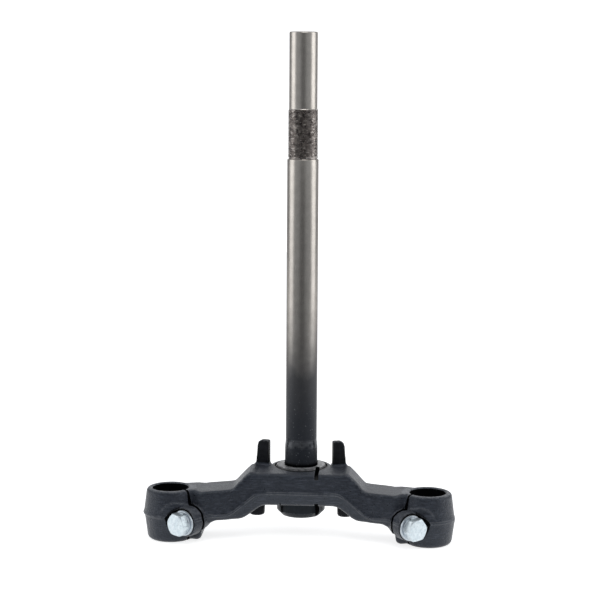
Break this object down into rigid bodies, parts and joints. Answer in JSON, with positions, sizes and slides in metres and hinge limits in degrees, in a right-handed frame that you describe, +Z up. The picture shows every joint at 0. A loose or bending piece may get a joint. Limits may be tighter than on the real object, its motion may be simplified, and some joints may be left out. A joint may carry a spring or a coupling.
{
  "type": "motorcycle triple clamp",
  "caption": "Arched fork bridge with a pressed-in upright steering stem, slit clamps with pinch bolts at its ends and stop lugs beside the stem.",
  "frame": {"origin": "on the stem axis, in the plane of the machined ring that the lower bearing rests on", "axes": "+Z up along the stem, -Y to the front of the vehicle, where the forks and the bolt heads are, +X to the right in the picture"},
  "size_m": [0.2586, 0.0971, 0.4174],
  "materials": {
    "black_coat": "satin black coat on a forging, with a lighter machined ring",
    "bare_steel": "drawn tube, bare at the top and blackened towards the foot, with a dark thread",
    "zinc_bolt": "bright zinc plating",
    "zinc_washer": "zinc plating"
  },
  "bodies": {
    "root": {"fork_bridge": "black_coat", "steering_stem": "bare_steel", "pinch_bolt_left": "zinc_bolt", "pinch_bolt_right": "zinc_bolt", "spring_washer_left": "zinc_washer", "spring_washer_right": "zinc_washer", "plain_washer_left": "zinc_washer", "plain_washer_right": "zinc_washer"}
  },
  "joints": []
}
